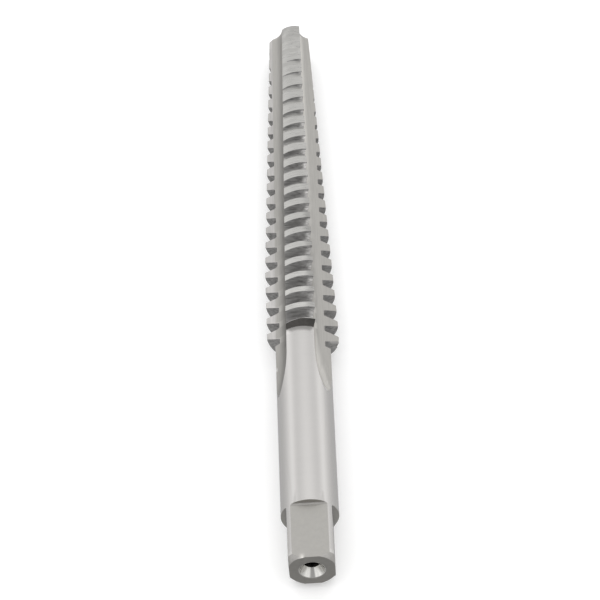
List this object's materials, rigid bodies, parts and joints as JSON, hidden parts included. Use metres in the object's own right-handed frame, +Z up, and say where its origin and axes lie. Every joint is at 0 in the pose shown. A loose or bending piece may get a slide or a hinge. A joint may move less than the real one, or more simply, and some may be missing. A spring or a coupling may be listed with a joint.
{
  "type": "thread tap",
  "caption": "Long straight-fluted hand tap that cuts a right-hand trapezoidal thread, with a tapered lead, plain shank and square drive end.",
  "frame": {"origin": "centre of the bounding box in plan, on the surface that the tap lies on", "axes": "+Y along the tap from the drive square to the point, +X across it, +Z up out of the middle of the top land"},
  "size_m": [0.0104, 0.1044, 0.0095],
  "materials": {
    "tool_steel": "ground bright high-speed steel, milled flutes and flats"
  },
  "bodies": {
    "root": {"thread_tap": "tool_steel"}
  },
  "joints": []
}
